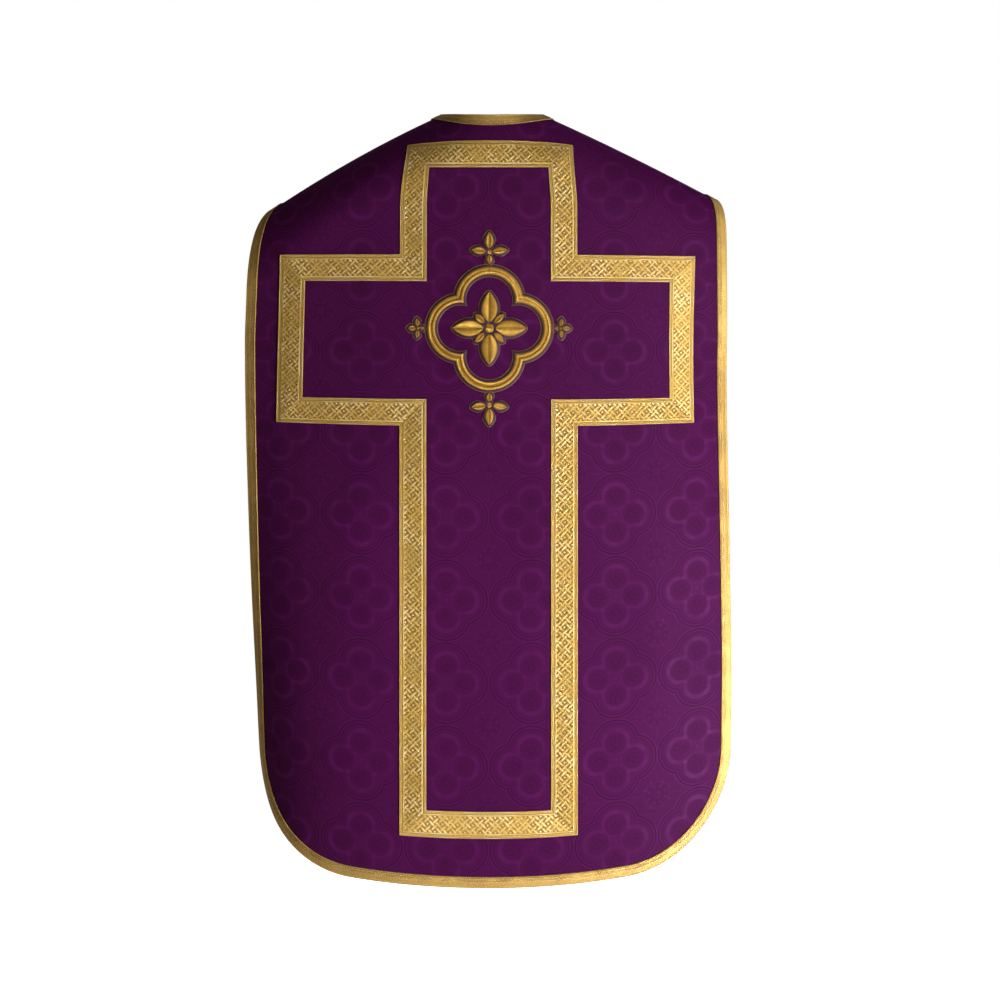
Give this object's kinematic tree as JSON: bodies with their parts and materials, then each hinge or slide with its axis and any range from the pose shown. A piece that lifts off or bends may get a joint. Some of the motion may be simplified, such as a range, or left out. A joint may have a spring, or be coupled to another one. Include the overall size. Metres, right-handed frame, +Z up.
{
  "type": "fiddleback chasuble",
  "caption": "Worn liturgical vestment in stiff purple damask, open at neck, sides and hem, with gold braid edging, a braid cross and a padded ornament on the back.",
  "frame": {"origin": "middle of the neck opening, level with the cloth's edge at the centre back of the neck, where the wearer's shoulders hold the garment", "axes": "+Z up; the back of the garment faces -Y and its front faces +Y; +X is to the right as seen from behind"},
  "size_m": [0.6928, 0.2235, 1.0984],
  "materials": {
    "damask": "purple silk damask, satin pattern on a matt ground",
    "galloon": "woven gold braid with a metallic sheen",
    "embroidery": "padded gold satin stitch with a dark outline"
  },
  "bodies": {
    "root": {"back_panel": "damask", "front_panel": "damask", "edge_galloon_back": "galloon", "edge_galloon_front": "galloon", "neck_galloon_back": "galloon", "neck_galloon_front": "galloon", "cross_galloon": "galloon", "emblem_ring": "embroidery", "emblem_star": "embroidery", "emblem_top": "embroidery", "emblem_right": "embroidery", "emblem_low": "embroidery", "emblem_left": "embroidery"}
  },
  "joints": []
}
